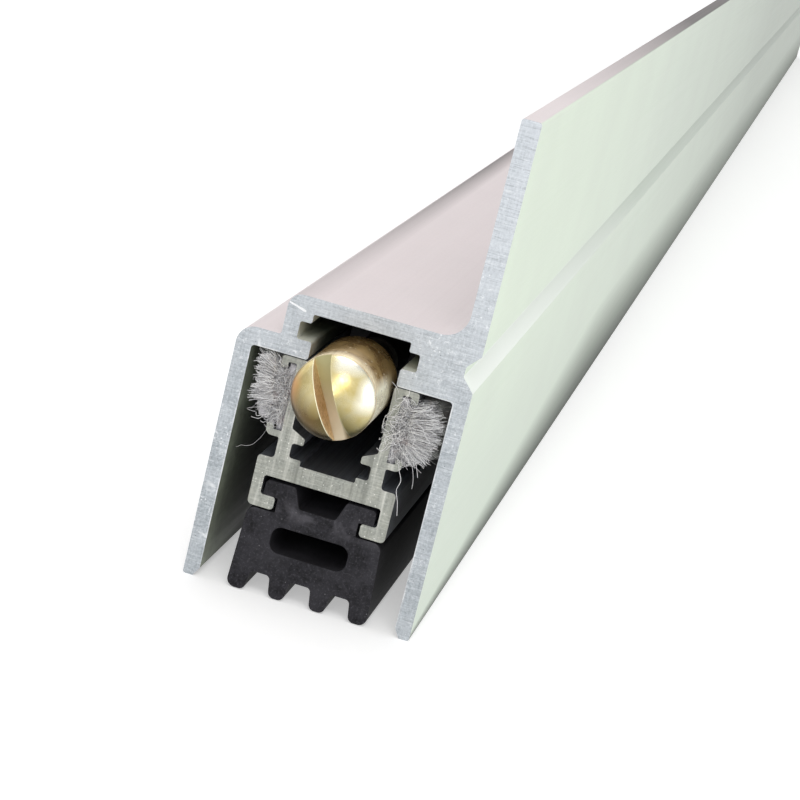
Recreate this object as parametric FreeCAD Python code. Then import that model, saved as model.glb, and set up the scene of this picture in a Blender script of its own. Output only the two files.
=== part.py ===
import FreeCAD, Part
import os
from math import atan2, cos, degrees, pi, radians, sin, tan
from FreeCAD import Placement, Rotation, Vector

# Automatic door bottom seal. All sizes are millimetres.
# X runs across the door, Y along its bottom edge away from the plunger, Z up.
# Pieces are drawn with X = 0 in the middle of the cavity, Y = 0 at the sawn front
# end and Z = 0 at the leg tips, then moved so that the origin is mid-length.

os.makedirs("parts", exist_ok=True)

# Housing section
seal_length = 830.0
housing_width = 25.0
flange_rise = 23.1
leg_wall = 1.7
leg_tip_flat = 1.1
leg_tip_bevel = 1.0
cavity_height = 25.9
shoulder_wall = 1.9
shoulder_round = 2.0
crown_half_width = 8.05
crown_round = 1.5
flange_wall = 2.1
flange_root_round = 2.6
edge_round = 0.3
groove_below_crown = 3.1
groove_mouth = 3.9
groove_bottom = 1.1
groove_depth = 1.3

# Fixing channel under the crown
channel_mouth_half = 4.75
ledge_thickness = 1.9
pocket_reach = 1.65
pocket_height = 1.9
ceiling_reach = 0.45
ceiling_rise = 1.0
ceiling_wall = 1.7

# Drop bar section
bar_top_gap = 0.1
bar_inner_half = 4.65
bar_wall = 1.05
track_depth = 0.9
track_lip = 0.75
track_roof = 0.6
track_upper_lip = 1.3
track_lower_lip = 0.6
track_base = 0.7
track_height = 8.6
foot_slot_half = 4.3
bar_channel_depth = 10.4
foot_slot_height = 1.6
neck_wall = 1.5
lip_reach = 1.2
lip_thickness = 0.75
lip_slope = 0.75
recess_half = 3.0
recess_depth = 0.6
bar_floor = 2.5
base_drop = 0.5
seal_track_half = 6.35
seal_track_height = 2.1
seal_track_wall = 1.15
hook_reach = 1.65
hook_thickness = 1.4

# Rubber seal section
head_side_gap = 0.35
head_top_gap = 0.4
head_width = 3.2
valley_slope = 0.8
valley_drop = 2.2
seal_neck_gap = 0.3
seal_side_gap = 0.2
seal_body_drop = 0.2
fin_flare = 0.45
fin_tip_z = 0.1
fin_length = 2.3
outer_fin_width = 2.15
inner_fin_width = 1.9
inner_fin_inside = 1.3
fin_taper = 0.15
hollow_half = 4.2
hollow_floor = 2.6
hollow_roof = 1.3
hollow_round = 1.1

# Pile strips
pile_backing = 0.7
pile_backing_top_gap = 0.25
pile_mouth_gap = 0.3
pile_leg_gap = 0.35
pile_spread = 0.9

# Travel
push_stroke = 7.0
bar_drop = 9.0

# Plunger
axis_below_ledge = 1.1
plunger_wall_gap = 0.3
plunger_stand_out = 7.0
plunger_dome = 3.0
plunger_tail = 3.5
plunger_thread_depth = 7.5
plunger_slot_width = 1.8
plunger_slot_past_rim = 0.1
plunger_slot_turn = 27.0
plunger_chamfer = 0.5

# Push rods
rod_diameter = 5.0
thread_diameter = 4.0
thread_length = 15.0
thread_end_gap = 1.0
running_gap = 0.05
rod_pin_diameter = 2.0
clevis_depth = 8.0
clevis_pin_inset = 4.0
tail_past_guide = 4.0

# Cam plates and followers
cam_thickness = 3.0
cam_station_front = 110.0
cam_station_rear = 700.0
follower_diameter = 2.4
follower_below_ceiling = 2.3
follower_end_gap = 0.1
cam_side_wall = 2.0
cam_ceiling_gap = 0.3
cam_foot_gap = 0.35
cam_arm_half_height = 2.0
cam_rod_gap = 0.6
side_gap = 0.3

# Lifting brackets on the drop bar
bracket_half_length = 20.0
bracket_cheek = 1.1
bracket_foot_gap = 0.3
bracket_foot_height = 1.5
bracket_rail_rise = 1.0
bracket_tower_half = 3.2
bracket_ceiling_gap = 0.5
bracket_screw_diameter = 2.5
bracket_screw_inset = 4.0

# Guide plates and guide blocks in the fixing channel
guide_plate_wall = 1.2
guide_plate_half_length = 7.0
guide_lip_gap = 0.25
guide_ceiling_gap = 0.2
guide_flange_gap = 0.2
guide_bar_gap = 0.3
guide_below_axis = 3.9
guide_length = 14.0
front_guide_y = 18.0
stop_guide_y = 290.0
middle_guide_y = 540.0
rear_guide_y = 722.0
guide_round = 0.8

# Return spring and its collar
collar_diameter = 8.4
collar_length = 8.0
collar_chamfer = 0.4
collar_screw_diameter = 2.5
collar_screw_sink = 0.2
spring_length = 30.0
spring_wire = 0.8
spring_rod_gap = 0.45
spring_turns = 6
spring_wire_sides = 6

# Sizes that follow from the ones above: housing
half_width = housing_width / 2
cavity_half = half_width - leg_wall
shoulder_top = cavity_height + shoulder_wall
flange_inner = half_width - flange_wall
ledge_top = cavity_height + ledge_thickness
pocket_half_width = channel_mouth_half + pocket_reach
pocket_top = ledge_top + pocket_height
ceiling_half_width = channel_mouth_half + ceiling_reach
ceiling_z = pocket_top + ceiling_rise
crown_top = ceiling_z + ceiling_wall
housing_height = crown_top + flange_rise
groove_centre_z = crown_top - groove_below_crown

# Drop bar
bar_top = cavity_height - bar_top_gap
track_wall = bar_inner_half + bar_wall
lip_inside = track_wall + track_depth
track_outer_half = lip_inside + track_lip
track_upper_lip_bottom = bar_top - track_upper_lip
track_underside = bar_top - track_height
track_floor_z = track_underside + track_base
track_lower_lip_top = track_floor_z + track_lower_lip
neck_half = foot_slot_half + neck_wall
foot_slot_floor = bar_top - bar_channel_depth
lip_underside = foot_slot_floor + foot_slot_height
lip_tip_half = foot_slot_half - lip_reach
lip_tip_top = lip_underside + lip_thickness
lip_root_top = lip_tip_top + lip_slope
recess_floor = foot_slot_floor - recess_depth
base_top = foot_slot_floor - base_drop
base_half = seal_track_half + seal_track_wall
seal_track_top = foot_slot_floor - bar_floor
hook_top = seal_track_top - seal_track_height
base_bottom = hook_top - hook_thickness
hook_tip_half = seal_track_half - hook_reach

# Rubber seal
head_outer = seal_track_half - head_side_gap
head_inner = head_outer - head_width
head_top = seal_track_top - head_top_gap
valley_half = head_inner - valley_slope
valley_z = head_top - valley_drop
seal_body_top = base_bottom - seal_body_drop
seal_body_half = base_half - seal_side_gap
seal_underside = fin_tip_z + fin_length
outer_fin_outside = seal_body_half + fin_flare
outer_fin_inside = outer_fin_outside - outer_fin_width
inner_fin_outside = inner_fin_inside + inner_fin_width
hollow_top = seal_body_top - hollow_roof
hollow_bottom = seal_underside + hollow_floor
hollow_corner = min(hollow_round, 0.468 * (hollow_top - hollow_bottom))

# Plunger and rods
axis_z = cavity_height - axis_below_ledge
plunger_radius = bar_inner_half - plunger_wall_gap
plunger_rim_y = -plunger_stand_out
plunger_nose_y = plunger_rim_y - plunger_dome
rod_radius = rod_diameter / 2
thread_radius = thread_diameter / 2
thread_start_y = plunger_tail - plunger_thread_depth + thread_end_gap
thread_end_y = thread_start_y + thread_length

# Cam plates, brackets and guides
follower_radius = follower_diameter / 2
follower_rest_z = ceiling_z - follower_below_ceiling
slot_radius = follower_radius + running_gap
cam_half = cam_thickness / 2
cam_top_z = ceiling_z - cam_ceiling_gap
cam_bottom_z = lip_underside + cam_foot_gap
cam_front_face = push_stroke + slot_radius + cam_side_wall
cam_rear_face = slot_radius + cam_side_wall
cheek_inner = cam_half + side_gap
cheek_outer = cheek_inner + bracket_cheek
plate_inner = cheek_outer + side_gap
plate_outer = plate_inner + guide_plate_wall
bracket_foot_half = foot_slot_half - bracket_foot_gap
bracket_rail_top = lip_root_top + bracket_rail_rise
bracket_tower_top = ceiling_z - bracket_ceiling_gap
guide_plate_bottom = lip_root_top + guide_lip_gap
guide_top_z = ceiling_z - guide_ceiling_gap
guide_body_half = bar_inner_half - guide_bar_gap
guide_body_bottom = axis_z - guide_below_axis
guide_flange_half = pocket_half_width - guide_flange_gap

# Places along the length
collar_y = stop_guide_y + guide_length
spring_y = collar_y + collar_length
spring_mean_radius = rod_radius + spring_rod_gap + spring_wire / 2
seat_y = spring_y + spring_length
tail_end_y = rear_guide_y + guide_length + tail_past_guide
middle_y = (seal_length + plunger_nose_y) / 2


def rounded_wire(points, y):
    """Closed outline in the XZ plane; a third value rounds that corner."""
    spots = [Vector(p[0], y, p[1]) for p in points]
    rounds = [p[2] if len(p) > 2 else 0.0 for p in points]
    edges = []
    first = last = None
    count = len(spots)
    for i in range(count):
        before, here, after = spots[i - 1], spots[i], spots[(i + 1) % count]
        enter = leave = here
        arc = None
        if rounds[i] > 0:
            one = (before - here).normalize()
            two = (after - here).normalize()
            half = one.getAngle(two) / 2
            reach = rounds[i] / tan(half)
            enter = here + one * reach
            leave = here + two * reach
            middle_way = (one + two).normalize()
            middle = here + middle_way * (rounds[i] / sin(half) - rounds[i])
            arc = Part.Arc(enter, middle, leave).toShape()
        if last is not None and (enter - last).Length > 1e-6:
            edges.append(Part.makeLine(last, enter))
        if arc is not None:
            edges.append(arc)
        if first is None:
            first = enter
        last = leave
    edges.append(Part.makeLine(last, first))
    return Part.Wire(edges)


def extrude(points, y, length, holes=()):
    """Solid of one section from y on along the door."""
    wires = [rounded_wire(points, y)]
    wires += [rounded_wire(hole, y) for hole in holes]
    return Part.Face(wires).extrude(Vector(0, length, 0))


def both_sides(right_half):
    """Whole outline from the points of its right half."""
    left = [(-p[0],) + tuple(p[1:]) for p in reversed(right_half)]
    return list(right_half) + left


def box(x0, x1, y0, y1, z0, z1):
    return Part.makeBox(x1 - x0, y1 - y0, z1 - z0, Vector(x0, y0, z0))


def rod(radius, y0, y1, z=axis_z, x=0.0):
    """Round bar along the door."""
    return Part.makeCylinder(radius, y1 - y0, Vector(x, y0, z), Vector(0, 1, 0))


def cross_pin(radius, half_length, y, z):
    """Round bar across the door."""
    start = Vector(-half_length, y, z)
    return Part.makeCylinder(radius, 2 * half_length, start, Vector(1, 0, 0))


def export(name, shape):
    """Move one finished piece to the mid-length origin and write it."""
    shape.translate(Vector(0, -middle_y, 0))
    shape.exportStep("parts/" + name + ".step")


def housing_section():
    groove_high = groove_centre_z + groove_mouth / 2
    groove_low = groove_centre_z - groove_mouth / 2
    groove_x = half_width - groove_depth
    outside = [
        (-half_width, 0.0, edge_round),
        (-half_width, shoulder_top, shoulder_round),
        (-crown_half_width, shoulder_top, edge_round),
        (-crown_half_width, crown_top, crown_round),
        (flange_inner, crown_top, flange_root_round),
        (flange_inner, housing_height, edge_round),
        (half_width, housing_height, edge_round),
        (half_width, groove_high, edge_round),
        (groove_x, groove_centre_z + groove_bottom / 2, 0.5),
        (groove_x, groove_centre_z - groove_bottom / 2, 0.5),
        (half_width, groove_low, edge_round),
        (half_width, 0.0, edge_round),
    ]
    inside = [
        (half_width - leg_tip_flat, 0.0),
        (cavity_half, leg_tip_bevel),
        (cavity_half, cavity_height, 0.4),
        (channel_mouth_half, cavity_height, edge_round),
        (channel_mouth_half, ledge_top, edge_round),
        (pocket_half_width, ledge_top, 0.25),
        (pocket_half_width, pocket_top, 0.25),
        (ceiling_half_width, pocket_top, 0.2),
        (ceiling_half_width, ceiling_z, 0.2),
    ]
    return outside + both_sides(inside)


def drop_bar_section():
    return both_sides([
        (recess_half, recess_floor, 0.15),
        (recess_half, foot_slot_floor, 0.15),
        (foot_slot_half, foot_slot_floor, 0.3),
        (foot_slot_half, lip_underside, 0.3),
        (lip_tip_half, lip_underside, 0.2),
        (lip_tip_half, lip_tip_top, 0.2),
        (bar_inner_half, lip_root_top, 0.3),
        (bar_inner_half, bar_top, 0.2),
        (track_outer_half, bar_top, 0.3),
        (track_outer_half, track_upper_lip_bottom, 0.2),
        (lip_inside, track_upper_lip_bottom, 0.2),
        (lip_inside, bar_top - track_roof, 0.15),
        (track_wall, bar_top - track_roof, 0.15),
        (track_wall, track_floor_z),
        (lip_inside, track_floor_z, 0.15),
        (lip_inside, track_lower_lip_top, 0.2),
        (track_outer_half, track_lower_lip_top, 0.2),
        (track_outer_half, track_underside, 0.7),
        (neck_half, track_underside, 0.2),
        (neck_half, base_top, 0.4),
        (base_half, base_top, 0.4),
        (base_half, base_bottom, 0.5),
        (hook_tip_half, base_bottom, 0.4),
        (hook_tip_half, hook_top, 0.3),
        (seal_track_half, hook_top, 0.3),
        (seal_track_half, seal_track_top, 0.3),
    ])


def rubber_section():
    neck = hook_tip_half - seal_neck_gap
    return both_sides([
        (valley_half, valley_z, 0.4),
        (head_inner, head_top, 0.4),
        (head_outer, head_top, 0.5),
        (head_outer, hook_top, 0.2),
        (neck, hook_top, 0.15),
        (neck, seal_body_top, 0.15),
        (seal_body_half, seal_body_top, 0.9),
        (outer_fin_outside, fin_tip_z, 0.9),
        (outer_fin_inside + fin_taper, fin_tip_z, 0.7),
        (outer_fin_inside - fin_taper, seal_underside, 0.5),
        (inner_fin_outside + fin_taper, seal_underside, 0.5),
        (inner_fin_outside - fin_taper, fin_tip_z, 0.7),
        (inner_fin_inside + fin_taper, fin_tip_z, 0.7),
        (inner_fin_inside - fin_taper, seal_underside, 0.5),
    ])


def rubber_hollow():
    return [
        (-hollow_half, hollow_bottom, hollow_corner),
        (hollow_half, hollow_bottom, hollow_corner),
        (hollow_half, hollow_top, hollow_corner),
        (-hollow_half, hollow_top, hollow_corner),
    ]


def pile_section(side):
    """Backing held behind the track lips and the pile fanning to the leg."""
    back = track_wall
    front = back + pile_backing
    backing_top = bar_top - track_roof - pile_backing_top_gap
    mouth_low = track_lower_lip_top + pile_mouth_gap
    mouth_high = track_upper_lip_bottom - pile_mouth_gap
    fan_start = track_outer_half + pile_mouth_gap
    tip = cavity_half - pile_leg_gap
    points = [
        (back, track_floor_z),
        (front, track_floor_z),
        (front, mouth_low),
        (fan_start, mouth_low),
        (tip, mouth_low - pile_spread, 0.6),
        (tip, mouth_high + pile_spread, 0.6),
        (fan_start, mouth_high),
        (front, mouth_high),
        (front, backing_top),
        (back, backing_top),
    ]
    return [(side * p[0],) + tuple(p[1:]) for p in points]


def plunger():
    """Turned head with a domed, slotted nose and a threaded socket."""
    ball = (plunger_radius ** 2 + plunger_dome ** 2) / (2 * plunger_dome)
    nose = plunger_nose_y
    body = rod(plunger_radius, nose, plunger_tail)
    rear = [e for e in body.Edges if abs(e.BoundBox.YMin - plunger_tail) < 1e-6]
    body = body.makeChamfer(plunger_chamfer, rear)
    dome = Part.makeSphere(ball, Vector(0, nose + ball, axis_z))
    keep = dome.fuse(rod(plunger_radius, plunger_rim_y, plunger_tail))
    body = body.common(keep)
    slot = box(-plunger_slot_width / 2, plunger_slot_width / 2, nose,
               plunger_rim_y + plunger_slot_past_rim, -plunger_radius, plunger_radius)
    slot.rotate(Vector(0, 0, 0), Vector(0, 1, 0), -plunger_slot_turn)
    slot.translate(Vector(0, 0, axis_z))
    socket = rod(thread_radius + running_gap, plunger_tail - plunger_thread_depth, plunger_tail)
    return body.cut(slot).cut(socket)


def clevis_cut(y0, y1):
    """Gap at a rod end that takes the arm of a cam plate."""
    return box(-cam_half, cam_half, y0, y1, axis_z - rod_radius, axis_z + rod_radius)


def joined_rod(y0, y1, clevis_at_start, clevis_at_end):
    """Rod with a forked, drilled end wherever it meets a cam plate."""
    bar = rod(rod_radius, y0, y1)
    if clevis_at_start:
        bar = bar.cut(clevis_cut(y0, y0 + clevis_depth))
        bar = bar.cut(rod_pin(y0 + clevis_pin_inset))
    if clevis_at_end:
        bar = bar.cut(clevis_cut(y1 - clevis_depth, y1))
        bar = bar.cut(rod_pin(y1 - clevis_pin_inset))
    return bar


def rod_pin(y):
    half_length = (rod_radius ** 2 - (rod_pin_diameter / 2) ** 2) ** 0.5
    return cross_pin(rod_pin_diameter / 2, half_length, y, axis_z)


def rod_ends(station):
    """Where the rods in front of and behind one cam plate end."""
    return station - cam_front_face - cam_rod_gap, station + cam_rear_face + cam_rod_gap


def cam_plate(station):
    """Plate with one inclined slot that turns the push into a drop."""
    front_end, rear_end = rod_ends(station)
    plate = box(-cam_half, cam_half, station - cam_front_face, station + cam_rear_face,
                cam_bottom_z, cam_top_z)
    edges = [e for e in plate.Edges if abs(e.BoundBox.XLength - cam_thickness) < 1e-6]
    plate = plate.makeFillet(guide_round, edges)
    arms = box(-cam_half, cam_half, front_end - clevis_depth, rear_end + clevis_depth,
               axis_z - cam_arm_half_height, axis_z + cam_arm_half_height)
    plate = plate.fuse(arms).removeSplitter()
    top = Vector(0, station, follower_rest_z)
    bottom = Vector(0, station - push_stroke, follower_rest_z - bar_drop)
    plate = plate.cut(slot_tool(top, bottom, cam_half))
    for y in (front_end - clevis_pin_inset, rear_end + clevis_pin_inset):
        plate = plate.cut(rod_pin(y))
    return plate


def slot_tool(top, bottom, half_length):
    """Long hole across the door between two centres."""
    way = bottom - top
    tool = box(-half_length, half_length, 0, way.Length, -slot_radius, slot_radius)
    turn = degrees(atan2(way.z, way.y))
    tool.Placement = Placement(top, Rotation(Vector(1, 0, 0), turn))
    for centre in (top, bottom):
        tool = tool.fuse(cross_pin(slot_radius, half_length, centre.y, centre.z))
    return tool


def follower_pin(station):
    return cross_pin(follower_radius, plate_outer - follower_end_gap, station, follower_rest_z)


def bracket_screw_spots(station):
    reach = bracket_half_length - bracket_screw_inset
    return (station - reach, station + reach)


def bracket_screw(y):
    return Part.makeCylinder(bracket_screw_diameter / 2, lip_underside - recess_floor,
                             Vector(0, y, recess_floor))


def bracket(station):
    """Forked bracket: foot under the lips, rails, and a tower for the pin."""
    y0 = station - bracket_half_length
    y1 = station + bracket_half_length
    foot = box(-bracket_foot_half, bracket_foot_half, y0, y1,
               lip_underside - bracket_foot_height, lip_underside)
    body = foot
    for inner, outer in ((cheek_inner, cheek_outer), (-cheek_outer, -cheek_inner)):
        rail = box(inner, outer, y0, y1, lip_underside, bracket_rail_top)
        tower = box(inner, outer, station - bracket_tower_half, station + bracket_tower_half,
                    lip_underside, bracket_tower_top)
        rims = [e for e in tower.Edges if e.BoundBox.ZMin > bracket_tower_top - 1e-6
                and e.BoundBox.YLength < 1e-6]
        tower = tower.makeFillet(guide_round, rims)
        body = body.fuse([rail, tower])
    body = body.removeSplitter().cut(follower_pin(station))
    for y in bracket_screw_spots(station):
        body = body.cut(bracket_screw(y))
    return body


def guide_plate(station, side):
    """Upright hung in one channel pocket; its slot keeps the pin upright."""
    y0 = station - guide_plate_half_length
    points = [
        (plate_inner, guide_plate_bottom),
        (plate_outer, guide_plate_bottom),
        (plate_outer, ledge_top),
        (guide_flange_half, ledge_top, 0.3),
        (guide_flange_half, pocket_top, 0.3),
        (plate_outer, pocket_top),
        (plate_outer, guide_top_z),
        (plate_inner, guide_top_z),
    ]
    points = [(side * p[0],) + tuple(p[1:]) for p in points]
    plate = extrude(points, y0, 2 * guide_plate_half_length)
    top = Vector(0, station, follower_rest_z)
    bottom = Vector(0, station, guide_plate_bottom - slot_radius)
    return plate.cut(slot_tool(top, bottom, plate_outer))


def guide_block(y):
    """Nylon block pushed into the fixing channel; the rod runs in its bore."""
    points = both_sides([
        (guide_body_half, guide_body_bottom, guide_round),
        (guide_body_half, ledge_top),
        (guide_flange_half, ledge_top, 0.3),
        (guide_flange_half, pocket_top, 0.3),
        (guide_body_half, pocket_top),
        (guide_body_half, guide_top_z, guide_round),
    ])
    block = extrude(points, y, guide_length)
    return block.cut(rod(rod_radius + running_gap, y, y + guide_length))


def collar_screw():
    length = collar_diameter / 2 - rod_radius
    start = Vector(0, collar_y + collar_length / 2, axis_z - rod_radius)
    return Part.makeCylinder(collar_screw_diameter / 2, length - collar_screw_sink, start, Vector(0, 0, -1))


def collar():
    ring = rod(collar_diameter / 2, collar_y, collar_y + collar_length)
    rims = [e for e in ring.Edges if abs(e.Length - pi * collar_diameter) < 1e-3]
    ring = ring.makeChamfer(collar_chamfer, rims)
    ring = ring.cut(rod(rod_radius, collar_y, collar_y + collar_length))
    start = Vector(0, collar_y + collar_length / 2, axis_z)
    hole = Part.makeCylinder(collar_screw_diameter / 2, collar_diameter, start, Vector(0, 0, -1))
    return ring.cut(hole)


def return_spring():
    """Coil round the link rod between the collar and the spring seat."""
    height = spring_length - spring_wire
    helix = Part.makeHelix(height / spring_turns, height, spring_mean_radius)
    angles = [radians(360.0 * i / spring_wire_sides) for i in range(spring_wire_sides)]
    ring = [Vector(spring_mean_radius + spring_wire / 2 * cos(a), 0, spring_wire / 2 * sin(a))
            for a in angles]
    section = Part.makePolygon(ring + ring[:1])
    coil = Part.Wire(helix.Edges).makePipeShell([section], True, True)
    coil.rotate(Vector(0, 0, 0), Vector(1, 0, 0), -90)
    coil.translate(Vector(0, spring_y + spring_wire / 2, axis_z))
    return coil


def make_housing_parts():
    export("housing", extrude(housing_section(), 0.0, seal_length))
    blocks = {
        "front_rod_guide": front_guide_y,
        "stop_rod_guide": stop_guide_y,
        "spring_seat": seat_y,
        "middle_rod_guide": middle_guide_y,
        "rear_rod_guide": rear_guide_y,
    }
    for name, y in blocks.items():
        export(name, guide_block(y))
    for place, station in stations.items():
        export("guide_plate_" + place + "_left", guide_plate(station, -1))
        export("guide_plate_" + place + "_right", guide_plate(station, 1))


def make_rod_parts():
    front_end, front_rear = rod_ends(cam_station_front)
    rear_end, rear_rear = rod_ends(cam_station_rear)
    head = rod(thread_radius, thread_start_y, thread_end_y)
    shaft = joined_rod(thread_end_y, front_end, False, True)
    export("front_rod", head.fuse(shaft).removeSplitter())
    export("link_rod", joined_rod(front_rear, rear_end, True, True))
    export("tail_rod", joined_rod(rear_rear, tail_end_y, True, False))
    pins = [front_end - clevis_pin_inset, front_rear + clevis_pin_inset,
            rear_end - clevis_pin_inset, rear_rear + clevis_pin_inset]
    export("rod_pins", Part.makeCompound([rod_pin(y) for y in pins]))
    for place, station in stations.items():
        export("cam_plate_" + place, cam_plate(station))
    export("spring_collar", collar())
    export("collar_screw", collar_screw())
    export("return_spring", return_spring())
    export("plunger", plunger())


def make_bar_parts():
    export("drop_bar", extrude(drop_bar_section(), 0.0, seal_length))
    export("rubber_seal", extrude(rubber_section(), 0.0, seal_length, [rubber_hollow()]))
    export("pile_strip_left", extrude(pile_section(-1), 0.0, seal_length))
    export("pile_strip_right", extrude(pile_section(1), 0.0, seal_length))
    screws = []
    for place, station in stations.items():
        export("bracket_" + place, bracket(station))
        export("follower_pin_" + place, follower_pin(station))
        screws += [bracket_screw(y) for y in bracket_screw_spots(station)]
    export("bracket_screws", Part.makeCompound(screws))


stations = {"front": cam_station_front, "rear": cam_station_rear}

make_housing_parts()
make_rod_parts()
make_bar_parts()
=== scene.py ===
import bpy
import bmesh
import math
import random
from mathutils import Matrix, Vector


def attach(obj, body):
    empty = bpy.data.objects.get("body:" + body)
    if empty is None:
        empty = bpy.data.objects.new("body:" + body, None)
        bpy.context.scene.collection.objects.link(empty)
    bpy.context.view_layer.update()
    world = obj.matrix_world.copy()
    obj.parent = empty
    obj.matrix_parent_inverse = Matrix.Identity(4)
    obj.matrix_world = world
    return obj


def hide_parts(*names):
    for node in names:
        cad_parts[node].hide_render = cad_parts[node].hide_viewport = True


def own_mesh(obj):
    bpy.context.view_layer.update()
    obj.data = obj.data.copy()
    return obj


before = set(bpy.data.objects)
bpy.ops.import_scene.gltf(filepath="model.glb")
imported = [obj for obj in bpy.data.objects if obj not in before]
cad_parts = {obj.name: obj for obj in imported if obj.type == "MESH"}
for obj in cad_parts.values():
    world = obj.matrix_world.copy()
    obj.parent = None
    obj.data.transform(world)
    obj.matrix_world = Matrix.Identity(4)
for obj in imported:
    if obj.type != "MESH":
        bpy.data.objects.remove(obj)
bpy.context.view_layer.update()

# Looks of the automatic door bottom seal. Lengths are metres unless a name ends in _mm.
# X runs across the door, Y along its bottom edge away from the plunger, Z up.

MM = 0.001
BODY_HOUSING = "housing"
BODY_BAR = "drop_bar"
BODY_PLUNGER = "plunger"

# Section sizes that the pieces made here share with the solids, in millimetres
front_y_mm = -410.0
far_y_mm = 420.0
axis_z_mm = 24.8
cavity_half_mm = 10.8
cavity_top_mm = 25.9
channel_half_mm = 6.6
ceiling_z_mm = 30.7
crown_top_mm = 32.4
flange_top_mm = 55.5
groove_z_mm = 29.3
groove_half_mm = 2.1
groove_floor_mm = 11.1
track_wall_mm = 5.7
mouth_low_mm = 18.5
mouth_high_mm = 24.5
mouth_middle_mm = (mouth_low_mm + mouth_high_mm) / 2
mouth_outside_mm = 7.65
track_floor_mm = 17.9
backing_top_mm = 24.95
backing_face_mm = 6.4
rubber_neck_mm = 9.8

plunger_radius_mm = 4.35
plunger_rim_mm = -7.0
plunger_dome_mm = 3.0
plunger_tail_mm = 3.5
plunger_bore_mm = 2.05
plunger_bore_depth_mm = 7.5
plunger_slot_mm = 1.8
plunger_slot_floor_mm = 0.1
plunger_slot_turn = math.radians(27.0)
plunger_edge_mm = 0.11
plunger_chamfer_mm = 0.5
plunger_around = 96

spring_start_mm = -98.0
spring_length_mm = 30.0
spring_turns = 6
spring_mean_mm = 3.35
spring_wire_mm = 0.4

# Finish: the part of a normal from which a face counts as facing along an axis, the band of
# painted shade along the right side, and the marks of the sawn face
facing_limit = 0.7
band_start_mm = 1.6
band_growth = 0.10
band_limit_mm = 14.0
burr_half_mm = 0.055
nick_x_mm = -7.0
nick_z_mm = 31.05
nick_slope = 0.28
cut_relief_mm = 0.05

# Corners around the section of the wire and of the threads
wire_sides = 8
fibre_sides = 3
stray_sides = 5

# Pile: how many threads each kind of piece has, slices of the mass along the strip, and seeds
tuft_layers = 5
tuft_threads = 24
mat_threads = 900
side_threads = 6400
mass_slices = 760
random_strays = 26
left_seed = 11
right_seed = 29
stray_seed = 5

# Threads: least and greatest half thickness of each kind, the layers of a tuft along the strip,
# how far threads may pass the two ends, the side ones' spread and the random ones' step
tuft_fibre_mm = (0.024, 0.044)
mat_fibre_mm = (0.022, 0.036)
side_fibre_mm = (0.03, 0.045)
stray_fibre_mm = (0.020, 0.030)
tuft_layer_gap_mm = 0.75
tuft_layer_ahead_mm = 0.55
fringe_front_mm = 1.7
fringe_back_mm = 1.2
side_spread_mm = 2.9
stray_step_mm = 0.62

# The pile's bulge outside its track, from below to above, as X and Z in millimetres
pile_bulge = (
    (8.5, 18.4), (9.4, 18.1), (10.1, 18.2), (10.3, 18.9), (10.25, 20.2), (10.35, 21.5),
    (10.25, 22.8), (10.3, 24.1), (10.1, 24.9), (9.4, 25.0), (8.5, 24.6),
)

# Frayed tufts at the sawn ends: root and tip of each, as X and Z in millimetres
right_tufts = (
    ((7.14, 24.00), (9.05, 24.75)), ((7.14, 23.56), (9.75, 24.30)),
    ((7.15, 23.01), (10.25, 23.75)), ((7.21, 22.48), (10.50, 23.10)),
    ((7.28, 21.95), (10.56, 22.38)), ((7.32, 21.48), (10.53, 21.68)),
    ((7.36, 21.07), (10.44, 20.96)), ((7.37, 20.73), (10.08, 20.23)),
    ((7.37, 20.45), (9.91, 19.55)), ((7.38, 20.17), (9.60, 18.90)),
    ((7.34, 20.03), (9.01, 18.79)), ((7.20, 19.60), (8.30, 18.60)),
)
left_tufts = (
    ((-7.69, 24.40), (-8.84, 25.55)), ((-7.60, 24.10), (-9.68, 25.13)),
    ((-7.58, 23.62), (-9.58, 24.29)), ((-7.57, 23.14), (-9.59, 23.51)),
    ((-7.55, 22.66), (-9.49, 22.67)), ((-7.56, 22.27), (-9.71, 21.93)),
    ((-7.47, 21.91), (-9.67, 21.35)), ((-7.27, 21.48), (-9.70, 20.66)),
    ((-7.12, 21.23), (-9.03, 20.27)), ((-6.96, 20.99), (-8.44, 20.25)),
)

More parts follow.
